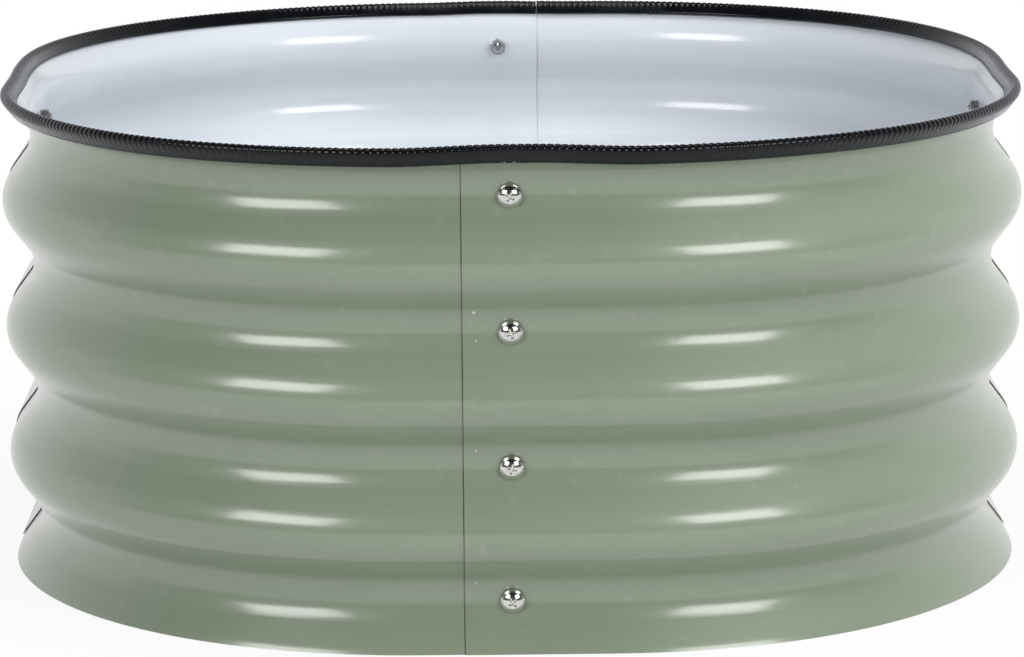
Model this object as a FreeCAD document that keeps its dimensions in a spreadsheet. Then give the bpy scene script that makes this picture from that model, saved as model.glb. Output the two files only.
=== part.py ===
import FreeCAD, Part
import math
import os

import Sketcher

# A bottomless raised garden bed: four curved quarter panels of corrugated steel sheet that lap and bolt
# together at four seams, and a black edge trim on the top edge.
# Frame: origin on the ground at the middle of the bed, +Z up, -Y towards the front seam. Millimetres.

DIMENSIONS = {
    # the wall
    "bed_width": 610.0,      # across the bulges of a panel of the middle level
    "wall_height": 281.8,    # from the ground to the sheet's top edge
    "straight_run": 54.0,    # from the middle of a side to where the corner starts to curve
    "sheet_gauge": 0.6,
    "wave_pitch": 76.2,
    "wave_depth": 17.5,      # from valley to bulge, on the sheet's middle surface
    "crest_radius": 22.0,    # of the sheet's middle surface, the same in valleys and bulges
    "first_valley": 28.5,    # height of the lowest valley, where the lowest screws sit
    # the lapped seams
    "seam_offset": 4.0,      # from the middle of the front and the back to their bolt lines, towards -X
    "lap_reach": 26.5,       # from the bolt line to a panel's cut edge
    "lap_gap": 0.3,          # between two lapped sheets
    "hole_width": 7.0,
    # the screws
    "screw_width": 6.0,
    "screw_length": 10.0,    # under the head
    "screw_tip": 0.8,        # chamfer at the screw's end
    "screw_drop": 1.5,       # from a valley's middle down to the screw in it
    "head_width": 13.5,
    "head_rim": 0.7,
    "head_rise": 4.0,
    "recess_reach": 2.9,     # from the head's axis to the end of a recess arm
    "recess_arm": 1.5,       # width of an arm of the cross
    "recess_depth": 2.3,
    "recess_taper": 8.0,     # degrees
    # the nuts
    "nut_width": 10.0,       # across the flats
    "nut_height": 5.0,
    "nut_chamfer": 0.45,     # height of the bevel at a corner
    "thread_gap": 0.2,
    "seat_gap": 0.1,         # between a fastener and the sheet that it seats on
    # the edge trim
    "trim_wall": 1.6,
    "slot_depth": 9.2,
    "slot_gap": 0.4,         # between the slot and the sheets in it
    "roof_gap": 0.5,         # between the slot's roof and the highest sheet edge
    "slot_round": 0.9,       # radius of the slot's two upper corners, which the crown follows
    "joint_gap": 0.5,        # between the trim's two ends
    "core_gauge": 0.3,
    "core_gap": 0.1,         # between the steel carrier and the rubber round it
    "core_inset": 0.8,       # from the trim's feet up to the carrier's
}

# Panels lap in three levels, so that every lap is one sheet over one sheet.
# Each panel is a quarter of the plan: its name, its level and its quarter turns from the front right one.
PANELS = (
    ("panel_front_right", 0, 0),
    ("panel_back_right", 1, 1),
    ("panel_back_left", 0, 2),
    ("panel_front_left", -1, 3),
)

# Each seam: its name, its direction from the middle in degrees, and the levels of its two sheets, outer first.
SEAMS = (
    ("front", 270.0, 0, -1),
    ("right", 0.0, 1, 0),
    ("back", 90.0, 1, 0),
    ("left", 180.0, 0, -1),
)

# How far each screw and nut happens to be turned when tight, in degrees.
SCREW_TURN_STEP = 37.0
NUT_TURN_STEP = 23.0

QUARTER_TURN = 90
HALF_CORNER = 45.0
CENTRE = 3

doc = FreeCAD.newDocument("raised_garden_bed")
sheet = doc.addObject("Spreadsheet::Sheet", "Dimensions")
for row, (alias, number) in enumerate(DIMENSIONS.items(), start=1):
    sheet.set(f"A{row}", alias)
    sheet.set(f"B{row}", str(number))
    sheet.setAlias(f"B{row}", alias)
doc.recompute()

# Formulas on the sheet's cells. Each derived size is written once, here, and both the drawn geometry and
# the constraints that drive it use the same words.
PITCH = "Dimensions.wave_pitch"
GAUGE = "Dimensions.sheet_gauge"
HALF_GAUGE = "Dimensions.sheet_gauge / 2"
CREST = "Dimensions.crest_radius"
LEVEL_STEP = "(Dimensions.sheet_gauge + Dimensions.lap_gap)"
WALL_REACH = "((Dimensions.bed_width - Dimensions.wave_depth - Dimensions.sheet_gauge) / 2)"
# The wave is arcs joined by straight flanks. FLANK is a flank's angle from upright.
CENTRE_OFFSET = "(Dimensions.crest_radius - Dimensions.wave_depth / 2)"
CENTRES_APART = "(2 * Dimensions.crest_radius - Dimensions.wave_depth)"
CENTRE_SPAN = f"sqrt((Dimensions.wave_pitch / 2)^2 + {CENTRES_APART}^2)"
CENTRE_ANGLE = f"atan({CENTRES_APART} / (Dimensions.wave_pitch / 2))"
FLANK = f"(asin(2 * Dimensions.crest_radius / {CENTRE_SPAN}) - {CENTRE_ANGLE})"


def value(formula):
    result = sheet.evalExpression(formula)
    return float(getattr(result, "Value", result))


# Waves needed to cover the wall from below the ground line to above the top edge.
waves_below = max(0, math.ceil(value("Dimensions.first_valley / Dimensions.wave_pitch - 0.5")))
lowest_bulge = f"(Dimensions.first_valley - {waves_below + 0.5} * {PITCH})"
wave_count = math.ceil(value(f"(Dimensions.wall_height - {lowest_bulge}) / {PITCH}"))


def extreme_height(index):
    # heights of bulges (even) and valleys (odd), from the lowest bulge up
    return f"({lowest_bulge} + {index / 2} * {PITCH})"


HEAD_ROOM = "(Dimensions.head_width / 2)"
LAST_ROW = f"(Dimensions.wall_height - Dimensions.slot_depth - {HEAD_ROOM})"
valleys = [extreme_height(index) for index in range(1, 2 * wave_count, 2)]
screw_rows = [f"({valley} - Dimensions.screw_drop)" for valley in valleys]
bolt_rows = [row for row in screw_rows if value(HEAD_ROOM) < value(row) < value(LAST_ROW)]


def add_body(name):
    body = doc.addObject("PartDesign::Body", name)
    body.Label = name
    return body


def add_sketch(body, role, name):
    sketch = body.newObject("Sketcher::SketchObject", name)
    plane = next(item for item in body.Origin.OriginFeatures if item.Role == role)
    sketch.AttachmentSupport = [(plane, "")]
    sketch.MapMode = "FlatFace"
    return sketch


def origin_axis(body, role):
    return next(item for item in body.Origin.OriginFeatures if item.Role == role)


class Drawing:
    # Collects a sketch's geometry and constraints, and binds the driven ones to formulas.

    def __init__(self, sketch):
        self.sketch = sketch
        self.constraints = []
        self.formulas = {}

    def add(self, shape, construction=False):
        return self.sketch.addGeometry(shape, construction)

    def line(self, start, end, construction=False):
        return self.add(Part.LineSegment(FreeCAD.Vector(*start), FreeCAD.Vector(*end)), construction)

    def arc(self, centre, radius, start_angle, end_angle):
        circle = Part.Circle(FreeCAD.Vector(*centre), FreeCAD.Vector(0, 0, 1), radius)
        return self.add(Part.ArcOfCircle(circle, math.radians(start_angle), math.radians(end_angle)))

    def circle(self, centre, radius, construction=False):
        return self.add(Part.Circle(FreeCAD.Vector(*centre), FreeCAD.Vector(0, 0, 1), radius), construction)

    def tie(self, kind, *where):
        self.constraints.append(Sketcher.Constraint(kind, *where))

    def drive(self, kind, *where_and_formula):
        *where, formula = where_and_formula
        self.formulas[len(self.constraints)] = formula
        self.constraints.append(Sketcher.Constraint(kind, *where, value(formula)))

    def place(self, geometry, point, across, up):
        # a point's place from the sketch's own origin
        self.drive("DistanceX", -1, 1, geometry, point, across)
        self.drive("DistanceY", -1, 1, geometry, point, up)

    def finish(self):
        indices = self.sketch.addConstraint(self.constraints)
        for position, formula in self.formulas.items():
            self.sketch.setExpression(f"Constraints[{indices[position]}]", formula)


def draw_polygon(drawing, corners):
    # a closed outline of straight lines whose corners are pairs of formulas
    points = [(value(across), value(up), 0) for across, up in corners]
    lines = [drawing.line(start, end) for start, end in zip(points, points[1:] + points[:1])]
    for line, following in zip(lines, lines[1:] + lines[:1]):
        drawing.tie("Coincident", line, 2, following, 1)
    for line, (across, up) in zip(lines, corners):
        drawing.place(line, 1, across, up)
    return lines


def draw_wave_face(drawing, reach, outer):
    # One face of the sheet, from the lowest bulge's middle to the highest bulge's middle.
    flank = value(FLANK)
    last = 2 * wave_count
    arcs = []
    for index in range(last + 1):
        bulge = index % 2 == 0
        across = f"({reach} {'-' if bulge else '+'} {CENTRE_OFFSET})"
        radius = f"({CREST} {'+' if bulge == outer else '-'} {HALF_GAUGE})"
        centre = (value(across), value(extreme_height(index)), 0)
        if bulge:
            lower = 0.0 if index == 0 else -flank
            upper = 0.0 if index == last else flank
            arc = drawing.arc(centre, value(radius), lower, upper)
            ends = (1, 2)
        else:
            arc = drawing.arc(centre, value(radius), 180 - flank, 180 + flank)
            ends = (2, 1)
        drawing.place(arc, CENTRE, across, extreme_height(index))
        drawing.drive("Radius", arc, radius)
        arcs.append((arc, centre, ends))
    for (arc, _, ends), (following, _, following_ends) in zip(arcs, arcs[1:]):
        start = drawing.sketch.getPoint(arc, ends[1])
        end = drawing.sketch.getPoint(following, following_ends[0])
        flank_line = drawing.line(start, end)
        drawing.tie("Tangent", flank_line, 1, arc, ends[1])
        drawing.tie("Tangent", flank_line, 2, following, following_ends[0])
    for arc, _, _ in (arcs[0], arcs[-1]):
        free_end = 1 if arc == arcs[0][0] else 2
        drawing.tie("Horizontal", arc, CENTRE, arc, free_end)
    return arcs[0][0], arcs[-1][0]


def draw_wave_section(sketch, reach):
    drawing = Drawing(sketch)
    outer_low, outer_high = draw_wave_face(drawing, reach, outer=True)
    inner_low, inner_high = draw_wave_face(drawing, reach, outer=False)
    for inner, outer, point in ((inner_low, outer_low, 1), (inner_high, outer_high, 2)):
        edge = drawing.line(sketch.getPoint(inner, point), sketch.getPoint(outer, point))
        drawing.tie("Coincident", edge, 1, inner, point)
        drawing.tie("Coincident", edge, 2, outer, point)
    drawing.finish()


def mirror_quarter(body):
    diagonal = add_sketch(body, "XY_Plane", "diagonal")
    drawing = Drawing(diagonal)
    reach = value(WALL_REACH)
    line = drawing.line((0, 0, 0), (reach, -reach, 0), construction=True)
    drawing.tie("Coincident", line, 1, -1, 1)
    drawing.place(line, 2, WALL_REACH, f"-{WALL_REACH}")
    drawing.finish()
    doc.recompute()
    mirrored = body.newObject("PartDesign::Mirrored", "other_half")
    mirrored.MirrorPlane = (diagonal, ["Axis0"])
    mirrored.TransformMode = "Whole shape"
    body.Tip = mirrored
    return mirrored


def cut_through(body, name, sketch):
    cut = body.newObject("PartDesign::Pocket", name)
    cut.Profile = sketch
    cut.Type = "ThroughAll"
    body.Tip = cut
    return cut


def drill(body, role, name, bolt_line):
    # a row of holes up one arm, on a bolt line that is a distance across an upright plane
    holes = add_sketch(body, role, name)
    drawing = Drawing(holes)
    for height in bolt_rows:
        hole = drawing.circle((value(bolt_line), value(height), 0), value("Dimensions.hole_width / 2"))
        drawing.place(hole, CENTRE, bolt_line, height)
        drawing.drive("Diameter", hole, "Dimensions.hole_width")
    drawing.finish()
    cut_through(body, f"drilled_{name}", holes).Reversed = True


def build_panel(name, level, turns):
    # drawn as the front right quarter, with a side arm along Y and a front arm along X
    body = add_body(name)
    section = add_sketch(body, "XZ_Plane", "wave_section")
    # on the plane where the straight run meets the corner, with its vertical axis on the corner's axis
    section.setExpression("AttachmentOffset.Base.x", "Dimensions.straight_run")
    section.setExpression("AttachmentOffset.Base.z", "Dimensions.straight_run")
    draw_wave_section(section, f"({WALL_REACH} - Dimensions.straight_run + {level} * {LEVEL_STEP})")
    run = body.newObject("PartDesign::Pad", "straight_run")
    run.Profile = section
    past_middle = "abs(Dimensions.seam_offset) + 2 * Dimensions.lap_reach"
    run.setExpression("Length", f"Dimensions.straight_run + {past_middle}")
    run.Reversed = True
    corner = body.newObject("PartDesign::Revolution", "corner")
    corner.Profile = section
    corner.ReferenceAxis = (section, ["V_Axis"])
    corner.Angle = HALF_CORNER
    corner.Reversed = True
    mirror_quarter(body)

    # the sheet is cut square at the ground and at its top edge
    side = "Dimensions.bed_width"
    above = f"(Dimensions.wall_height + {PITCH})"
    below = f"-{(waves_below + 1)} * {PITCH}"
    heights = add_sketch(body, "XZ_Plane", "ground_and_top")
    drawing = Drawing(heights)
    draw_polygon(drawing, ((f"-{side}", "Dimensions.wall_height"), (side, "Dimensions.wall_height"),
                           (side, above), (f"-{side}", above)))
    draw_polygon(drawing, ((f"-{side}", below), (side, below), (side, "0"), (f"-{side}", "0")))
    drawing.finish()
    cut_through(body, "cut_to_height", heights).SideType = "Symmetric"

    # and at its two upright edges, a lap's reach past the bolt lines
    front_line = f"(-Dimensions.seam_offset * cos({QUARTER_TURN * turns}))"
    side_line = f"(Dimensions.seam_offset * sin({QUARTER_TURN * turns}))"
    front_end = f"({front_line} - Dimensions.lap_reach)"
    side_end = f"({side_line} + Dimensions.lap_reach)"
    arm_side = f"({WALL_REACH} / 2)"
    edges = add_sketch(body, "XY_Plane", "upright_edges")
    drawing = Drawing(edges)
    draw_polygon(drawing, ((f"-{side}", f"-{side}"), (front_end, f"-{side}"), (front_end, f"-{arm_side}"),
                           (f"-{side}", f"-{arm_side}")))
    draw_polygon(drawing, ((arm_side, side_end), (side, side_end), (side, side), (arm_side, side)))
    drawing.finish()
    cut_through(body, "cut_to_length", edges).SideType = "Symmetric"

    drill(body, "XZ_Plane", "front_holes", front_line)
    drill(body, "YZ_Plane", "side_holes", side_line)
    spin = FreeCAD.Rotation(FreeCAD.Vector(0, 0, 1), QUARTER_TURN * turns)
    body.Placement = FreeCAD.Placement(FreeCAD.Vector(), spin)
    return body


def build_screw(name):
    # stands on its own axis, with the head's underside at its origin and the head upwards
    body = add_body(name)
    section = add_sketch(body, "XZ_Plane", "half_section")
    drawing = Drawing(section)
    radius = "(Dimensions.screw_width / 2)"
    rim = "(Dimensions.head_width / 2)"
    corners = (("0", "Dimensions.head_rise"), ("0", "-Dimensions.screw_length"),
               (f"({radius} - Dimensions.screw_tip)", "-Dimensions.screw_length"),
               (radius, "(Dimensions.screw_tip - Dimensions.screw_length)"), (radius, "0"), (rim, "0"),
               (rim, "Dimensions.head_rim"))
    points = [(value(across), value(up), 0) for across, up in corners]
    lines = [drawing.line(start, end) for start, end in zip(points, points[1:])]
    for line, following in zip(lines, lines[1:]):
        drawing.tie("Coincident", line, 2, following, 1)
    for line, (across, up) in zip(lines, corners):
        drawing.place(line, 1, across, up)
    drawing.place(lines[-1], 2, *corners[-1])
    crown_rise = value("Dimensions.head_rise - Dimensions.head_rim")
    crown_radius = (crown_rise ** 2 + value(rim) ** 2) / (2 * crown_rise)
    crown_height = value("Dimensions.head_rise") - crown_radius
    rim_angle = math.degrees(math.atan2(value("Dimensions.head_rim") - crown_height, value(rim)))
    crown = drawing.arc((0, crown_height, 0), crown_radius, rim_angle, 90)
    drawing.tie("Coincident", crown, 1, lines[-1], 2)
    drawing.tie("Coincident", crown, 2, lines[0], 1)
    drawing.tie("PointOnObject", crown, CENTRE, -2)
    drawing.finish()
    turned = body.newObject("PartDesign::Revolution", "turned")
    turned.Profile = section
    turned.ReferenceAxis = (section, ["V_Axis"])

    # the cross recess: the arms narrow towards its floor
    cross = add_sketch(body, "XY_Plane", "cross")
    cross.setExpression("AttachmentOffset.Base.z", "Dimensions.head_rise")
    drawing = Drawing(cross)
    arm = "(Dimensions.recess_arm / 2)"
    reach = "Dimensions.recess_reach"
    corners = [(reach, f"(0 - {arm})"), (reach, arm), (arm, arm)]
    outline = []
    for _ in range(4):
        outline += corners
        corners = [(f"(0 - {up})", across) for across, up in corners]
    draw_polygon(drawing, outline)
    drawing.finish()
    recess = body.newObject("PartDesign::Pocket", "recess")
    recess.Profile = cross
    recess.setExpression("Length", "Dimensions.recess_depth")
    recess.setExpression("TaperAngle", "-Dimensions.recess_taper")
    body.Tip = recess
    return body


def build_nut(name):
    # stands on its own axis, with the face that seats on the sheet at its origin
    body = add_body(name)
    corner_reach = "(Dimensions.nut_width / sqrt(3))"
    outline = add_sketch(body, "XY_Plane", "hexagon")
    drawing = Drawing(outline)
    guide = drawing.circle((0, 0, 0), value(corner_reach), construction=True)
    corners = [(value(corner_reach) * math.cos(math.radians(60 * side)),
                value(corner_reach) * math.sin(math.radians(60 * side)), 0) for side in range(6)]
    sides = [drawing.line(start, end) for start, end in zip(corners, corners[1:] + corners[:1])]
    for side, following in zip(sides, sides[1:] + sides[:1]):
        drawing.tie("Coincident", side, 2, following, 1)
        drawing.tie("PointOnObject", side, 1, guide)
    for side in sides[1:]:
        drawing.tie("Equal", sides[0], side)
    drawing.tie("Coincident", guide, CENTRE, -1, 1)
    drawing.drive("Radius", guide, corner_reach)
    drawing.tie("PointOnObject", sides[0], 1, -1)
    bore = drawing.circle((0, 0, 0), value("Dimensions.screw_width / 2 + Dimensions.thread_gap"))
    drawing.tie("Coincident", bore, CENTRE, -1, 1)
    drawing.drive("Radius", bore, "Dimensions.screw_width / 2 + Dimensions.thread_gap")
    drawing.finish()
    blank = body.newObject("PartDesign::Pad", "blank")
    blank.Profile = outline
    blank.setExpression("Length", "Dimensions.nut_height")

    # the corners are bevelled at both ends, on a cone that just touches the flats
    bevels = add_sketch(body, "XZ_Plane", "bevels")
    drawing = Drawing(bevels)
    flat_reach = "(Dimensions.nut_width / 2)"
    beyond = f"(2 * {corner_reach} - {flat_reach})"
    bevel_rise = "(2 * Dimensions.nut_chamfer)"
    top = "Dimensions.nut_height"
    draw_polygon(drawing, ((flat_reach, "0"), (beyond, "0"), (beyond, bevel_rise)))
    draw_polygon(drawing, ((flat_reach, top), (beyond, f"({top} - {bevel_rise})"), (beyond, top)))
    drawing.finish()
    bevelled = body.newObject("PartDesign::Groove", "bevelled")
    bevelled.Profile = bevels
    bevelled.ReferenceAxis = (bevels, ["V_Axis"])
    body.Tip = bevelled
    return body


# A head seats in the hollow of a valley, on the lower edge of its rim. A nut seats on the valley's crown.
HOLLOW_RADIUS = f"({CREST} - {HALF_GAUGE})"
HEAD_STANDOFF = f"({HOLLOW_RADIUS} - sqrt({HOLLOW_RADIUS}^2 - ({HEAD_ROOM} + Dimensions.screw_drop)^2))"
VALLEY_REACH = f"({WALL_REACH} - Dimensions.wave_depth / 2)"


def head_seat(level):
    standoff = f"{HALF_GAUGE} + {HEAD_STANDOFF} + Dimensions.seat_gap"
    return f"({VALLEY_REACH} + {level} * {LEVEL_STEP} + {standoff})"


def nut_seat(level):
    return f"({VALLEY_REACH} + {level} * {LEVEL_STEP} - {HALF_GAUGE} - Dimensions.seat_gap)"


def place_on_seam(body, direction, lay_down, turn, reach, height):
    upright = FreeCAD.Vector(0, 0, 1)
    spin = FreeCAD.Rotation(upright, turn)
    lay = FreeCAD.Rotation(FreeCAD.Vector(0, 1, 0), lay_down)
    swing = FreeCAD.Rotation(upright, direction)
    body.Placement = FreeCAD.Placement(FreeCAD.Vector(), swing * lay * spin)
    offset = f"Dimensions.seam_offset * abs(sin({direction}))"
    body.setExpression("Placement.Base.x", f"cos({direction}) * {reach} - {offset}")
    body.setExpression("Placement.Base.y", f"sin({direction}) * {reach}")
    body.setExpression("Placement.Base.z", height)


def build_seam(seam, direction, outer_level, inner_level):
    for number, height in enumerate(bolt_rows, start=1):
        screw = build_screw(f"screw_{seam}_{number}")
        turn = SCREW_TURN_STEP * (number + direction)
        place_on_seam(screw, direction, 90, turn, head_seat(outer_level), height)
        nut = build_nut(f"nut_{seam}_{number}")
        turn = NUT_TURN_STEP * (number + direction)
        place_on_seam(nut, direction, -90, turn, nut_seat(inner_level), height)


def wave_offset(height):
    # how far the sheet's middle surface stands out from its mean line at a height
    from_valley = f"abs(mod({height} - {lowest_bulge}; {PITCH}) - {PITCH} / 2)"
    bend = f"{CREST} * sin({FLANK})"
    valley = f"{CENTRE_OFFSET} - sqrt({CREST}^2 - {from_valley}^2)"
    bulge = f"sqrt({CREST}^2 - ({PITCH} / 2 - {from_valley})^2) - {CENTRE_OFFSET}"
    flank = f"({from_valley} - {PITCH} / 4) * tan({FLANK})"
    past_flank = f"({from_valley} > {PITCH} / 2 - {bend} ? {bulge} : {flank})"
    return f"({from_valley} < {bend} ? {valley} : {past_flank})"


# The edge trim's section is drawn in its own frame, which leans with the sheet's flank: across the slot and
# up it, from the middle of the sheet's top edge. The slot has room for sheets of all three levels.
TOP_FLARE = wave_offset("Dimensions.wall_height")
TRIM_REACH = f"({WALL_REACH} + {TOP_FLARE})"
TRIM_JOINT = "(Dimensions.lap_reach - Dimensions.seam_offset)"
TRIM_START = f"({TRIM_JOINT} + Dimensions.joint_gap / 2)"
TRIM_END = f"({TRIM_JOINT} - Dimensions.joint_gap / 2)"
MOUTH_FLARE = wave_offset("(Dimensions.wall_height - Dimensions.slot_depth)")
MOUTH_DRIFT = f"(({MOUTH_FLARE} - {TOP_FLARE}) * cos({FLANK}) + Dimensions.slot_depth * sin({FLANK}))"
SLOT_SPARE = f"({LEVEL_STEP} * cos({FLANK}) + {HALF_GAUGE} / cos({FLANK}) + Dimensions.slot_gap)"
SLOT_INSIDE = f"(min(0; {MOUTH_DRIFT}) - {SLOT_SPARE})"
SLOT_OUTSIDE = f"(max(0; {MOUTH_DRIFT}) + {SLOT_SPARE})"
SLOT_ROOF = f"(({LEVEL_STEP} + {HALF_GAUGE} / cos({FLANK})) * sin({FLANK}) + Dimensions.roof_gap)"
SLOT_FOOT = f"({SLOT_ROOF} - Dimensions.slot_depth)"
# All faces of the trim and its carrier turn about the centres of the slot's two upper corners.
TURN_INSIDE = f"({SLOT_INSIDE} + Dimensions.slot_round)"
TURN_OUTSIDE = f"({SLOT_OUTSIDE} - Dimensions.slot_round)"
TURN_HEIGHT = f"({SLOT_ROOF} - Dimensions.slot_round)"
WALL_MIDDLE = "(Dimensions.trim_wall / 2)"
CORE_HALF = "(Dimensions.core_gauge / 2)"
CAVITY_HALF = "(Dimensions.core_gauge / 2 + Dimensions.core_gap)"


def draw_channel_face(drawing, distance, foot):
    # one face of an inverted U, a distance from the slot, from its outside foot over to its inside foot
    radius = f"(Dimensions.slot_round + {distance})"
    inside = f"({SLOT_INSIDE} - {distance})"
    outside = f"({SLOT_OUTSIDE} + {distance})"
    roof = f"({SLOT_ROOF} + {distance})"
    turn_height = value(TURN_HEIGHT)
    outside_leg = drawing.line((value(outside), value(foot), 0), (value(outside), turn_height, 0))
    outside_turn = drawing.arc((value(TURN_OUTSIDE), turn_height, 0), value(radius), 0, 90)
    top = drawing.line((value(TURN_OUTSIDE), value(roof), 0), (value(TURN_INSIDE), value(roof), 0))
    inside_turn = drawing.arc((value(TURN_INSIDE), turn_height, 0), value(radius), 90, 180)
    inside_leg = drawing.line((value(inside), turn_height, 0), (value(inside), value(foot), 0))
    for turn, across in ((outside_turn, TURN_OUTSIDE), (inside_turn, TURN_INSIDE)):
        drawing.place(turn, CENTRE, across, TURN_HEIGHT)
        drawing.drive("Radius", turn, radius)
    drawing.tie("Tangent", outside_leg, 2, outside_turn, 1)
    drawing.tie("Tangent", outside_turn, 2, top, 1)
    drawing.tie("Tangent", top, 2, inside_turn, 1)
    drawing.tie("Tangent", inside_turn, 2, inside_leg, 1)
    drawing.place(outside_leg, 1, outside, foot)
    drawing.place(inside_leg, 2, inside, foot)
    return outside_leg, inside_leg


def draw_channel(drawing, near, far, foot):
    # an inverted U round the slot: near and far are its two faces' distances from the slot
    near_legs = draw_channel_face(drawing, near, foot)
    far_legs = draw_channel_face(drawing, far, foot)
    for near_leg, far_leg, point in zip(near_legs, far_legs, (1, 2)):
        start = drawing.sketch.getPoint(near_leg, point)
        end = drawing.sketch.getPoint(far_leg, point)
        sole = drawing.line(start, end)
        drawing.tie("Coincident", sole, 1, near_leg, point)
        drawing.tie("Coincident", sole, 2, far_leg, point)


def draw_route(drawing):
    # a rounded square, open between the two ends of the trim
    run = "Dimensions.straight_run"
    radius = f"({TRIM_REACH} - {run})"
    ends = []
    quadrants = ((run, run, 0), (run, f"-{run}", 270), (f"-{run}", f"-{run}", 180), (f"-{run}", run, 90))
    for across, up, start_angle in quadrants:
        arc = drawing.arc((value(across), value(up), 0), value(radius), start_angle, start_angle + 90)
        drawing.place(arc, CENTRE, across, up)
        drawing.drive("Radius", arc, radius)
        ends.append(arc)
    for arc, following in zip(ends, ends[1:]):
        side = drawing.line(drawing.sketch.getPoint(arc, 1), drawing.sketch.getPoint(following, 2))
        drawing.tie("Tangent", side, 1, arc, 1)
        drawing.tie("Tangent", side, 2, following, 2)
    for arc, point, across in ((ends[0], 2, TRIM_START), (ends[-1], 1, TRIM_END)):
        corner = drawing.sketch.getPoint(arc, point)
        side = drawing.line((value(across), value(TRIM_REACH), 0), corner)
        drawing.tie("Tangent", side, 2, arc, point)
        drawing.drive("DistanceX", -1, 1, side, 1, across)


def build_trim(name, channels):
    # a strip bent round the whole top edge, whose ends meet beside the back seam
    body = add_body(name)
    route = add_sketch(body, "XY_Plane", "route")
    route.setExpression("AttachmentOffset.Base.z", "Dimensions.wall_height")
    drawing = Drawing(route)
    draw_route(drawing)
    drawing.finish()
    section = add_sketch(body, "YZ_Plane", "channel_section")
    lean = FreeCAD.Rotation(FreeCAD.Vector(0, 0, -1), value(FLANK))
    section.AttachmentOffset = FreeCAD.Placement(FreeCAD.Vector(), lean)
    section.setExpression("AttachmentOffset.Base.x", TRIM_REACH)
    section.setExpression("AttachmentOffset.Base.y", "Dimensions.wall_height")
    section.setExpression("AttachmentOffset.Base.z", TRIM_START)
    section.setExpression("AttachmentOffset.Rotation.Angle", FLANK)
    drawing = Drawing(section)
    for channel in channels:
        draw_channel(drawing, *channel)
    drawing.finish()
    strip = body.newObject("PartDesign::AdditivePipe", "strip")
    strip.Profile = section
    strip.Spine = (route, [])
    body.Tip = strip
    return body


TRIM_OUTLINE = ("0", "Dimensions.trim_wall", SLOT_FOOT)
CORE_CAVITY = (f"({WALL_MIDDLE} - {CAVITY_HALF})", f"({WALL_MIDDLE} + {CAVITY_HALF})",
               f"({SLOT_FOOT} + Dimensions.core_inset - Dimensions.core_gap)")
CORE_OUTLINE = (f"({WALL_MIDDLE} - {CORE_HALF})", f"({WALL_MIDDLE} + {CORE_HALF})",
                f"({SLOT_FOOT} + Dimensions.core_inset)")

for panel_name, panel_level, panel_turns in PANELS:
    build_panel(panel_name, panel_level, panel_turns)
for seam_layout in SEAMS:
    build_seam(*seam_layout)
build_trim("edge_trim", (TRIM_OUTLINE, CORE_CAVITY))
build_trim("edge_trim_core", (CORE_OUTLINE,))
doc.recompute()

os.makedirs("parts", exist_ok=True)
failures = []
for item in doc.Objects:
    if "Invalid" in item.State or "Error" in item.State:
        failures.append(f"{item.Name} {item.State}")
parts = [item for item in doc.Objects if item.TypeId == "PartDesign::Body"]
for part in parts:
    if part.Shape.isNull() or not part.Shape.isValid():
        failures.append(f"{part.Label} shape")
if failures:
    raise RuntimeError(f"these objects failed: {failures}")
for part in parts:
    part.Shape.exportStep(f"parts/{part.Label}.step")
    print(part.Label, len(part.Shape.Solids), round(part.Shape.Volume, 2), part.Shape.BoundBox)
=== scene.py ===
import bpy
import bmesh
import math
from mathutils import Matrix, Vector


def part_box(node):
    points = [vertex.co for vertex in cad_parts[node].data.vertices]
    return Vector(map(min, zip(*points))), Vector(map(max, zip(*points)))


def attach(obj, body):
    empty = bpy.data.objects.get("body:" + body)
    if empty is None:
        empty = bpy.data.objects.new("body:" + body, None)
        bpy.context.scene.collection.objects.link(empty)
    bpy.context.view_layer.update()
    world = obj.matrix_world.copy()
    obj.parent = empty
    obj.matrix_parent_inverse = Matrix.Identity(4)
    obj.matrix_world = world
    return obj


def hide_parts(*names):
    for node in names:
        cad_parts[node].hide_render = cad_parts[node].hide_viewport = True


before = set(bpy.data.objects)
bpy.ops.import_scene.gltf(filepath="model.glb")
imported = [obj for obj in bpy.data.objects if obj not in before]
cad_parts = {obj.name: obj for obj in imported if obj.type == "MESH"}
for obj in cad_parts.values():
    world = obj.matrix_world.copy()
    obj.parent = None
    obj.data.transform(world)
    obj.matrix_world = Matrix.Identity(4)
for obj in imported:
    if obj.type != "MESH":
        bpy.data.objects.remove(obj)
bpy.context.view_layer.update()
print("frame loaded")

# The bed's plan is a square with round corners. The corners turn about the corners of an inner square, whose
# half side this is.
straightRun = 0.054


# small helpers for node materials

def startMaterial(name):
    material = bpy.data.materials.new(name)
    material.use_nodes = True
    tree = material.node_tree
    tree.nodes.clear()
    return material, tree


def plug(tree, node, key, given):
    # an input takes either another node's output or a plain value
    if isinstance(given, bpy.types.NodeSocket):
        tree.links.new(given, node.inputs[key])
    else:
        node.inputs[key].default_value = given


def put(tree, kind, values=None, **settings):
    node = tree.nodes.new("ShaderNode" + kind)
    for key, setting in settings.items():
        setattr(node, key, setting)
    for key, given in (values or {}).items():
        plug(tree, node, key, given)
    return node


def rgb(red, green, blue):
    # from 0-255 screen values to the linear colour that a socket takes
    linear = []
    for level in (red, green, blue):
        level = level / 255
        linear.append(level / 12.92 if level <= 0.04045 else ((level + 0.055) / 1.055) ** 2.4)
    return (*linear, 1)


def mixColor(tree, amount, first, second):
    return put(tree, "Mix", {0: amount, 6: first, 7: second}, data_type="RGBA").outputs[2]


def ramp(tree, factor, low, high, start=0.0, end=1.0):
    values = {"Value": factor, "From Min": low, "From Max": high, "To Min": start, "To Max": end}
    return put(tree, "MapRange", values).outputs[0]


def calc(tree, operation, *given):
    return put(tree, "Math", dict(enumerate(given)), operation=operation).outputs[0]


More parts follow.
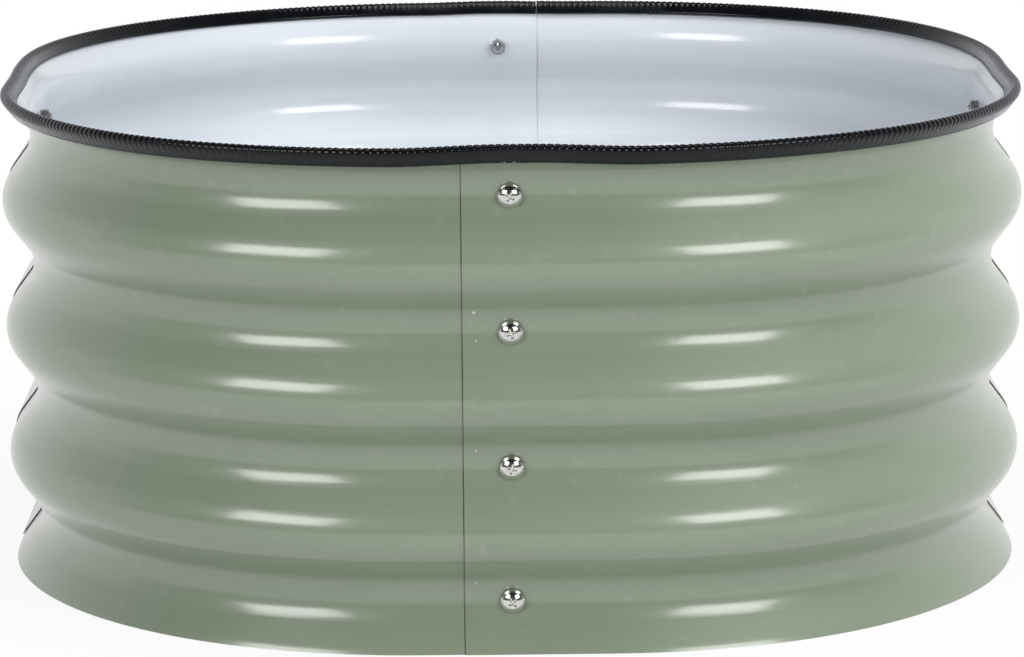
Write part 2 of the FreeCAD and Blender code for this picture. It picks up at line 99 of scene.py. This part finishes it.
def vectorCalc(tree, operation, *given):
    node = put(tree, "VectorMath", dict(enumerate(given)), operation=operation)
    return node.outputs["Value" if operation in ("DOT_PRODUCT", "LENGTH", "DISTANCE") else "Vector"]


def split(tree, vector):
    return put(tree, "SeparateXYZ", {0: vector}).outputs


def noise(tree, place, scale, detail=3.0):
    return put(tree, "TexNoise", {"Vector": place, "Scale": scale, "Detail": detail}).outputs[0]


def bumped(tree, height, distance):
    return put(tree, "Bump", {"Height": height, "Strength": 1.0, "Distance": distance}).outputs[0]


def finishMaterial(tree, shader):
    output = put(tree, "OutputMaterial")
    tree.links.new(shader.outputs[0], output.inputs[0])


def newPiece(name, shape, material):
    # makes an object of a finished bmesh
    mesh = bpy.data.meshes.new(name)
    shape.to_mesh(mesh)
    shape.free()
    mesh.materials.append(material)
    piece = bpy.data.objects.new(name, mesh)
    bpy.context.collection.objects.link(piece)
    return piece


def shade(name, material):
    # gives a CAD piece its material
    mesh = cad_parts[name].data
    mesh.materials.clear()
    mesh.materials.append(material)


# the painted sheet

sheetPaint = {
    "outside": (126, 139, 118),
    "inside": (213, 219, 227),
    "cutEdge": (44, 47, 44),
    "lapShadeLine": (40, 44, 38),     # painted shade: the shadow in the gap along a lap's edge
    "chip": (196, 200, 190),
    "chipCore": 0.6,             # how much of a chip is bare, before it fades
    "cutFacing": 0.4,            # a face is a cut edge when it looks less than this inwards or outwards
    "clouds": 9.0,               # scale and strength of the slight cloudiness
    "cloudShare": 0.025,
    "dust": (200, 203, 196),
    "dustGrains": 130.0,
    "dustShare": 0.10,
    "gloss": 0.42,               # of the paint itself, and how much it varies
    "glossVaries": 0.03,
    "peelGrains": 420.0,         # fine orange peel in the surface
    "peelHeight": 0.00002,
    "coat": 0.9,                 # the clear coat: its amount, density and roughness
    "coatIor": 1.65,
    "glaze": 0.17,
}

# Painted shade along the laps' edges, where the gap between the sheets lies in shadow: which way its side
# faces, outside or inside, the place of the edge across that side, the way that the covered sheet runs from
# it, the line's width and how dark it is.
lapShadeEdges = (
    {"faces": (0, -1), "outside": True, "edge": -0.0305, "way": -1, "width": 0.0006, "dark": 0.75},
    {"faces": (1, 0), "outside": True, "edge": -0.0265, "way": -1, "width": 0.0006, "dark": 0.5},
    {"faces": (-1, 0), "outside": True, "edge": -0.0265, "way": -1, "width": 0.0042, "dark": 1.0},
    {"faces": (0, 1), "outside": False, "edge": 0.0225, "way": 1, "width": 0.0006, "dark": 0.16},
    {"faces": (1, 0), "outside": False, "edge": 0.0265, "way": 1, "width": 0.0008, "dark": 0.6},
)

# small chips in the paint beside the front lap: place across the front, height and size
chips = (
    (-0.0242, 0.191, 0.0011),
    (-0.0230, 0.175, 0.0006),
    (-0.0237, 0.113, 0.0007),
    (-0.0245, 0.038, 0.0006),
)

sideStarts = 0.25    # everything further from the bed's middle than this belongs to that side's wall


def lapShadeLine(tree, place, outside, spec):
    # painted shade: as dark as the shadow line is beside a lap's edge, and 0 elsewhere
    x, y, _ = split(tree, place)
    facesX, facesY = spec["faces"]
    toward, across = (x, y) if facesX else (y, x)
    onSide = calc(tree, "GREATER_THAN", calc(tree, "MULTIPLY", toward, facesX + facesY), sideStarts)
    halfWidth = spec["width"] / 2
    past = calc(tree, "MULTIPLY", calc(tree, "SUBTRACT", across, spec["edge"]), spec["way"])
    fromMiddle = calc(tree, "ABSOLUTE", calc(tree, "SUBTRACT", past, halfWidth))
    inLine = calc(tree, "LESS_THAN", fromMiddle, halfWidth)
    face = outside if spec["outside"] else calc(tree, "SUBTRACT", 1.0, outside)
    line = calc(tree, "MULTIPLY", calc(tree, "MULTIPLY", onSide, inLine), face)
    return calc(tree, "MULTIPLY", line, spec["dark"])


def paintedSheet(spec):
    material, tree = startMaterial("painted_sheet")
    place = put(tree, "TexCoord").outputs["Object"]
    # the way out is away from the nearest point of the inner square, at the same height
    anyHeight = 9
    inner = vectorCalc(tree, "MINIMUM", place, (straightRun, straightRun, anyHeight))
    inner = vectorCalc(tree, "MAXIMUM", inner, (-straightRun, -straightRun, -anyHeight))
    out = vectorCalc(tree, "NORMALIZE", vectorCalc(tree, "SUBTRACT", place, inner))
    facing = vectorCalc(tree, "DOT_PRODUCT", out, put(tree, "NewGeometry").outputs["Normal"])
    outside = ramp(tree, facing, -0.02, 0.02)
    cut = calc(tree, "LESS_THAN", calc(tree, "ABSOLUTE", facing), spec["cutFacing"])

    color = mixColor(tree, outside, rgb(*spec["inside"]), rgb(*spec["outside"]))
    x, y, z = split(tree, place)
    seenFlat = put(tree, "CombineXYZ", {0: x, 2: z}).outputs[0]
    onFront = calc(tree, "MULTIPLY", calc(tree, "LESS_THAN", y, -sideStarts), outside)
    for chipX, chipZ, size in chips:
        away = vectorCalc(tree, "DISTANCE", seenFlat, (chipX, 0, chipZ))
        spot = calc(tree, "MULTIPLY", ramp(tree, away, size, size * spec["chipCore"]), onFront)
        color = mixColor(tree, spot, color, rgb(*spec["chip"]))
    # painted shade in the gaps along the laps' edges
    for edge in lapShadeEdges:
        color = mixColor(tree, lapShadeLine(tree, place, outside, edge), color, rgb(*spec["lapShadeLine"]))
    color = mixColor(tree, cut, color, rgb(*spec["cutEdge"]))

    blotch = noise(tree, place, spec["clouds"])
    cloud = ramp(tree, blotch, 0.3, 0.7, 1 - spec["cloudShare"], 1 + spec["cloudShare"])
    dust = ramp(tree, noise(tree, place, spec["dustGrains"], 6.0), 0.62, 0.8, 0.0, spec["dustShare"])
    tinted = put(tree, "VectorMath", {0: color, "Scale": cloud}, operation="SCALE").outputs[0]
    color = mixColor(tree, dust, tinted, rgb(*spec["dust"]))
    rough = ramp(tree, blotch, 0.3, 0.7, -spec["glossVaries"], spec["glossVaries"])
    rough = calc(tree, "ADD", rough, spec["gloss"])
    peel = bumped(tree, noise(tree, place, spec["peelGrains"], 1.0), spec["peelHeight"])
    shader = put(tree, "BsdfPrincipled", {"Base Color": color, "Roughness": rough, "Normal": peel})
    shader.inputs["Coat Weight"].default_value = spec["coat"]
    shader.inputs["Coat IOR"].default_value = spec["coatIor"]
    shader.inputs["Coat Roughness"].default_value = spec["glaze"]
    finishMaterial(tree, shader)
    return material


# metal

fasteners = {
    "bright": (216, 215, 212),
    "brightGloss": 0.09,
    "zinc": (214, 216, 220),
    "zincGloss": 0.30,
    "grains": 700.0,         # scale of the patches of other gloss and tint
    "smoothest": 0.7,        # how far the gloss varies, as a share of its value
    "roughest": 1.4,
    "dullTint": 0.88,
    "scuffs": 1500.0,        # scale and height of the fine scuffs
    "scuffHeight": 0.00003,
}


def metal(name, tint, gloss, spec):
    material, tree = startMaterial(name)
    place = put(tree, "TexCoord").outputs["Object"]
    grain = noise(tree, place, spec["grains"])
    rough = ramp(tree, grain, 0.3, 0.7, gloss * spec["smoothest"], gloss * spec["roughest"])
    dull = rgb(*[level * spec["dullTint"] for level in tint])
    color = mixColor(tree, ramp(tree, grain, 0.4, 0.8), rgb(*tint), dull)
    scuffs = bumped(tree, noise(tree, place, spec["scuffs"], 4.0), spec["scuffHeight"])
    shader = put(tree, "BsdfPrincipled", {"Base Color": color, "Roughness": rough, "Normal": scuffs})
    shader.inputs["Metallic"].default_value = 1.0
    finishMaterial(tree, shader)
    return material


# rubber

trimRubber = {
    "black": (11, 12, 16),
    "worn": (36, 38, 46),
    "wornShare": 0.25,
    "gloss": 0.15,
    "shine": 0.24,
    "bloom": 0.30,           # the milky look of the rubber seen at a low angle
    "bloomSpread": 0.25,
    "bloomTint": (206, 212, 255),
    "hatchPitch": 0.0008,    # fine grooves across the sides, and their depth beside the grain's
    "hatchShare": 0.12,
    "grains": 1100.0,
    "grainHeight": 0.00003,
    "dustPatches": 60.0,
}


def rubber(spec):
    material, tree = startMaterial("black_rubber")
    place = put(tree, "TexCoord").outputs["Object"]
    along = split(tree, put(tree, "UVMap").outputs[0])[0]
    hatch = calc(tree, "SINE", calc(tree, "MULTIPLY", along, 2 * math.pi / spec["hatchPitch"]))
    grain = noise(tree, place, spec["grains"])
    dust = noise(tree, place, spec["dustPatches"], 5.0)
    worn = ramp(tree, dust, 0.5, 0.8, 0.0, spec["wornShare"])
    color = mixColor(tree, worn, rgb(*spec["black"]), rgb(*spec["worn"]))
    rough = calc(tree, "ADD", ramp(tree, dust, 0.3, 0.7, -0.04, 0.06), spec["gloss"])
    height = calc(tree, "ADD", calc(tree, "MULTIPLY", hatch, spec["hatchShare"]), grain)
    shader = put(tree, "BsdfPrincipled", {"Base Color": color, "Roughness": rough,
                                          "Normal": bumped(tree, height, spec["grainHeight"])})
    shader.inputs["Specular IOR Level"].default_value = spec["shine"]
    shader.inputs["Sheen Weight"].default_value = spec["bloom"]
    shader.inputs["Sheen Roughness"].default_value = spec["bloomSpread"]
    shader.inputs["Sheen Tint"].default_value = rgb(*spec["bloomTint"])
    finishMaterial(tree, shader)
    return material


paint = paintedSheet(sheetPaint)
chrome = metal("bright_steel", fasteners["bright"], fasteners["brightGloss"], fasteners)
zinc = metal("zinc_steel", fasteners["zinc"], fasteners["zincGloss"], fasteners)
blackRubber = rubber(trimRubber)
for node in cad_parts:
    if node.startswith("panel"):
        shade(node, paint)
    elif node.startswith("screw"):
        shade(node, chrome)
    elif node.startswith("nut") or node == "edge_trim_core":
        shade(node, zinc)
    else:
        shade(node, blackRubber)
print("materials done")


# the ribbed edge trim and the steel carrier inside it

edgeTrim = {
    "jointMiddle": 0.0225,   # where its two ends meet, on the back
    "jointGap": 0.0005,
    "halfWidth": 0.0031,     # also the radius of its round crown
    "slotHalf": 0.0016,
    "legLength": 0.0075,     # from the crown's centre down to the feet
    "sunk": 0.0005,          # how far its top lies under the CAD trim's
    "lean": 36.8,            # degrees outwards, with the sheet
    "outset": 0.0002,
    "crownFaces": 12,
    "legFaces": 4,
    "ribPitch": 0.004,
    "ribDepth": 0.0005,
    "ribShape": (0.0, 0.18, 1.0, 0.18),    # how deep one rib's groove is at each of its faces
    "legRibs": 0.16,         # how much of the ribs' depth shows on the sides
    "ribsFade": 0.0016,      # how far below the crown they have faded to that
    "coreOuter": 0.0023,     # half widths and leg of the carrier
    "coreInner": 0.0019,
    "coreLeg": 0.0070,
    "coreFaces": 6,
}

# how the trim wanders up and down along its length: height, waves per metre in radians, and start
wanders = (
    (0.00025, 9.1, 0.6),
    (0.00015, 23.0, 2.1),
)

# Where the trim was not pushed quite home, or stands out with the sheets' edges: the side, the middle of
# the place along that side, half its length, how far it is lifted and how far it stands out.
trimPlaces = (
    {"side": (0, -1), "middle": 0.000, "reach": 0.070, "lift": 0.0026, "out": 0.0},
    {"side": (0, 1), "middle": -0.006, "reach": 0.050, "lift": 0.0010, "out": 0.0},
    {"side": (-1, 0), "middle": 0.030, "reach": 0.050, "lift": 0.0, "out": 0.0010},
    {"side": (1, 0), "middle": 0.032, "reach": 0.050, "lift": 0.0, "out": 0.0010},
)
placeSlope = 0.9    # the share of half a place's length over which it rises
sameSide = 0.6      # the least cosine between a point's way out and the side that a place is on


def smoothStep(amount):
    amount = min(max(amount, 0.0), 1.0)
    return amount * amount * (3 - 2 * amount)


def arch(radius, faces, way=1):
    angles = [math.pi * step / faces for step in range(faces + 1)][::way]
    return [(radius * math.cos(angle), radius * math.sin(angle)) for angle in angles]


def trimSection(spec):
    # The section's corners in order, across the slot and up it, from the outside foot over the crown.
    # The outline's corners take the ribs, and the slot's are plain.
    half, slot, leg = spec["halfWidth"], spec["slotHalf"], spec["legLength"]
    steps = spec["legFaces"]
    outline = [(half, -leg * (1 - step / steps)) for step in range(steps)]
    outline += arch(half, spec["crownFaces"])
    outline += [(-half, -leg * step / steps) for step in range(1, steps + 1)]
    return outline, [(-slot, -leg), (-slot, 0.0), (slot, 0.0), (slot, -leg)]


def coreSection(spec):
    outer, inner, leg = spec["coreOuter"], spec["coreInner"], spec["coreLeg"]
    section = [(outer, -leg)] + arch(outer, spec["coreFaces"]) + [(-outer, -leg), (-inner, -leg)]
    return section + arch(inner, spec["coreFaces"], -1) + [(inner, -leg)]


def sweep(shape, ring, turn, centre, move, steps):
    swept = bmesh.ops.spin(shape, geom=ring, cent=centre, axis=(0, 0, 1), dvec=move, angle=turn,
                           steps=steps, use_duplicate=False)
    return swept["geom_last"]


def sweepRound(spec, section, facesPerRib):
    # from the joint along the back, round each corner and along each side, in whole ribs, to the joint
    _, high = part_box("edge_trim")
    lean = math.radians(spec["lean"])
    across = Vector((0, math.cos(lean), -math.sin(lean)))
    up = Vector((0, math.sin(lean), math.cos(lean)))
    reach = high[0] - spec["halfWidth"] + spec["outset"]
    height = high[2] - spec["halfWidth"] - spec["sunk"]
    run, joint, halfGap = straightRun, spec["jointMiddle"], spec["jointGap"] / 2
    shape = bmesh.new()
    start = Vector((joint + halfGap, reach, height))
    corners = [shape.verts.new(start + across * side + up * rise) for side, rise in section]
    firstEdges = [shape.edges.new(pair) for pair in zip(corners, corners[1:] + corners[:1])]
    ring = corners + firstEdges

    def ribsIn(length):
        return facesPerRib * round(length / spec["ribPitch"])

    quarter = math.pi / 2 * (reach - run)
    lengths = [run - joint - halfGap, 2 * run, 2 * run, 2 * run, run + joint - halfGap]
    ways = [(1, 0), (0, -1), (-1, 0), (0, 1), (1, 0)]
    turns = [(run, run), (run, -run), (-run, -run), (-run, run)]
    for leg, (length, way) in enumerate(zip(lengths, ways)):
        steps = ribsIn(length)
        step = Vector((*way, 0)) * length / steps
        ring = sweep(shape, ring, 0, (0, 0, 0), step, steps)
        if leg < len(turns):
            ring = sweep(shape, ring, -math.pi / 2, (*turns[leg], 0), (0, 0, 0), ribsIn(quarter))
    lastEdges = [part for part in ring if isinstance(part, bmesh.types.BMEdge)]
    for edges in (firstEdges, lastEdges):
        bmesh.ops.contextual_create(shape, geom=edges)
    return shape


def measureRings(shape, section):
    # The vertices stand in rings, in the order of the sweep. Gives each ring's distance along the trim, and
    # lays the surface out flat by that distance and the way round the section.
    shape.verts.ensure_lookup_table()
    shape.verts.index_update()
    count = len(section)
    travelled = [0.0]
    for ringNumber in range(1, len(shape.verts) // count):
        before = shape.verts[(ringNumber - 1) * count].co
        travelled.append(travelled[-1] + (shape.verts[ringNumber * count].co - before).length)
    climbed = [0.0]
    for first, second in zip(section, section[1:]):
        climbed.append(climbed[-1] + math.dist(first, second))
    uvLayer = shape.loops.layers.uv.new("lengthways")
    for face in shape.faces:
        face.smooth = len(face.verts) == 4
        for loop in face.loops:
            ringNumber, corner = divmod(loop.vert.index, count)
            loop[uvLayer].uv = (travelled[ringNumber], climbed[corner])
    return travelled


def carveRib(spec, vert, out, side, rise, ringNumber):
    # the ribs run over the crown and fade on the sides
    lean = math.radians(spec["lean"])
    onCrown = smoothStep(1 + rise / spec["ribsFade"])
    depth = spec["ribDepth"] * (spec["legRibs"] + (1 - spec["legRibs"]) * onCrown)
    angle = math.atan2(max(rise, 0.0), side)
    awayOut = math.cos(angle) * math.cos(lean) + math.sin(angle) * math.sin(lean)
    awayUp = math.sin(angle) * math.cos(lean) - math.cos(angle) * math.sin(lean)
    away = out * awayOut + Vector((0, 0, awayUp))
    vert.co -= away * depth * spec["ribShape"][ringNumber % len(spec["ribShape"])]


def settle(spec, vert, out, distance):
    # the wander along the length, and the places where the trim is lifted or stands out
    lean = math.radians(spec["lean"])
    vert.co.z += sum(size * math.sin(distance * pace + start) for size, pace, start in wanders)
    lift = out * math.sin(lean) + Vector((0, 0, math.cos(lean)))
    for spot in trimPlaces:
        sideX, sideY = spot["side"]
        if out.x * sideX + out.y * sideY < sameSide:
            continue
        place = vert.co.y if sideX else vert.co.x
        inside = spot["reach"] - abs(place - spot["middle"])
        share = smoothStep(inside / (placeSlope * spot["reach"]))
        vert.co += (out * spot["out"] + lift * spot["lift"]) * share


def makeTrim(spec, section, name, node, material, facesPerRib, ribbed):
    # sweeps a section round the bed's top edge; its first corners, ribbed in number, take the ribs
    shape = sweepRound(spec, section, facesPerRib)
    travelled = measureRings(shape, section)
    run = straightRun
    for vert in shape.verts:
        ringNumber, corner = divmod(vert.index, len(section))
        inner = Vector((min(max(vert.co.x, -run), run), min(max(vert.co.y, -run), run), vert.co.z))
        out = (vert.co - inner).normalized()
        if corner < ribbed:
            carveRib(spec, vert, out, *section[corner], ringNumber)
        settle(spec, vert, out, travelled[ringNumber])
    bmesh.ops.recalc_face_normals(shape, faces=shape.faces)
    piece = newPiece(name, shape, material)
    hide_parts(node)
    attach(piece, "root")
    return piece


outline, slotCorners = trimSection(edgeTrim)
trim = makeTrim(edgeTrim, outline + slotCorners, "ribbed_trim", "edge_trim", blackRubber,
                len(edgeTrim["ribShape"]), len(outline))
core = makeTrim(edgeTrim, coreSection(edgeTrim), "trim_carrier", "edge_trim_core", zinc, 1, 0)
print("trim done")


# floor, light and camera

studio = {
    "sky": 0.19,             # on the object
    "frontDark": 0.14,       # what gloss shows of the room before the object
    "frontRange": (-0.35, 0.25),
    "topDark": 0.20,         # and above it
    "topRange": (0.25, 0.75),
    "floorHalf": 6,
    "floorMatte": 0.74,
    "floorNear": 0.92,       # how white the floor shows close to the object, and away from it
    "floorFar": 1.0,
    "floorRange": (0.32, 0.60),
    "aimHeight": 0.15,       # the lamps look at this height over the bed's middle
}

# Each lamp: its name, how far round to the right of the camera's side and how high it stands in degrees,
# its distance, its width and height, its power, and whether it shows in glossy surfaces.
lamps = (
    ("box_left", -39.0, 25.0, 2.3, (1.02, 0.82), 18.0, True),
    ("box_right", 34.0, 25.0, 2.3, (0.98, 0.82), 18.5, True),
    ("side_right", 70.0, 52.0, 2.3, (1.50, 1.50), 30.0, False),
    ("top", 0.0, 88.0, 2.0, (0.45, 0.45), 6.0, True),
)

cameraSet = {
    "lens": 147.19,
    "sensor": 36,
    "farthest": 50,
    "place": (-0.03266, -2.53338, 0.65625),
    "pitchDown": 11.937,
    "turn": -0.749,
    "roll": -0.4503,
}


def makeFloor(spec):
    shape = bmesh.new()
    bmesh.ops.create_grid(shape, x_segments=1, y_segments=1, size=spec["floorHalf"])
    material, tree = startMaterial("floor_white")
    rays = put(tree, "LightPath").outputs
    seen = calc(tree, "MAXIMUM", rays["Is Camera Ray"], rays["Is Glossy Ray"])
    matte = put(tree, "BsdfDiffuse", {"Color": (*[spec["floorMatte"]] * 3, 1)})
    glow = put(tree, "Emission", {"Color": (1, 1, 1, 1), "Strength": 1.0})
    away = vectorCalc(tree, "LENGTH", put(tree, "TexCoord").outputs["Object"])
    white = ramp(tree, away, *spec["floorRange"], spec["floorNear"], spec["floorFar"])
    share = calc(tree, "MULTIPLY", seen, white)
    both = put(tree, "MixShader", {0: share, 1: matte.outputs[0], 2: glow.outputs[0]})
    finishMaterial(tree, both)
    floor = newPiece("floor", shape, material)


def aimedLight(name, azimuth, rise, distance, size, power, inGloss):
    lamp = bpy.data.lights.new(name, "AREA")
    lamp.shape = "RECTANGLE"
    lamp.size, lamp.size_y = size
    lamp.energy = power
    holder = bpy.data.objects.new(name, lamp)
    bpy.context.collection.objects.link(holder)
    turn, up = math.radians(azimuth), math.radians(rise)
    away = Vector((math.sin(turn) * math.cos(up), -math.cos(turn) * math.cos(up), math.sin(up)))
    holder.location = Vector((0, 0, studio["aimHeight"])) + away * distance
    holder.rotation_euler = away.to_track_quat("Z", "Y").to_euler()
    holder.visible_glossy = inGloss


def makeSky(spec):
    world = bpy.data.worlds.new("studio")
    bpy.context.scene.world = world
    world.use_nodes = True
    tree = world.node_tree
    tree.nodes.clear()
    rays = put(tree, "LightPath").outputs
    _, back, up = split(tree, put(tree, "TexCoord").outputs["Generated"])
    # gloss shows a white room behind and beside the object, and a darker one in front and above
    room = calc(tree, "MULTIPLY", ramp(tree, back, *spec["frontRange"], spec["frontDark"], 1.0),
                ramp(tree, up, *spec["topRange"], 1.0, spec["topDark"]))
    level = put(tree, "Mix", {0: rays["Is Glossy Ray"], 2: spec["sky"], 3: room}).outputs[0]
    level = put(tree, "Mix", {0: rays["Is Camera Ray"], 2: level, 3: 1.0}).outputs[0]
    background = put(tree, "Background", {"Color": (1, 1, 1, 1), "Strength": level})
    output = put(tree, "OutputWorld")
    tree.links.new(background.outputs[0], output.inputs[0])


def placeCamera(spec):
    lens = bpy.data.cameras.new("camera")
    lens.lens = spec["lens"]
    lens.sensor_width = spec["sensor"]
    lens.clip_end = spec["farthest"]
    camera = bpy.data.objects.new("camera", lens)
    bpy.context.collection.objects.link(camera)
    turned = (Matrix.Rotation(math.radians(spec["turn"]), 4, "Z")
              @ Matrix.Rotation(math.radians(90 - spec["pitchDown"]), 4, "X")
              @ Matrix.Rotation(math.radians(spec["roll"]), 4, "Z"))
    camera.matrix_world = Matrix.Translation(spec["place"]) @ turned
    bpy.context.scene.camera = camera


makeFloor(studio)
makeSky(studio)
for lampSpec in lamps:
    aimedLight(*lampSpec)
placeCamera(cameraSet)
bpy.context.scene.view_settings.view_transform = "Standard"
print("floor, lights and camera done")
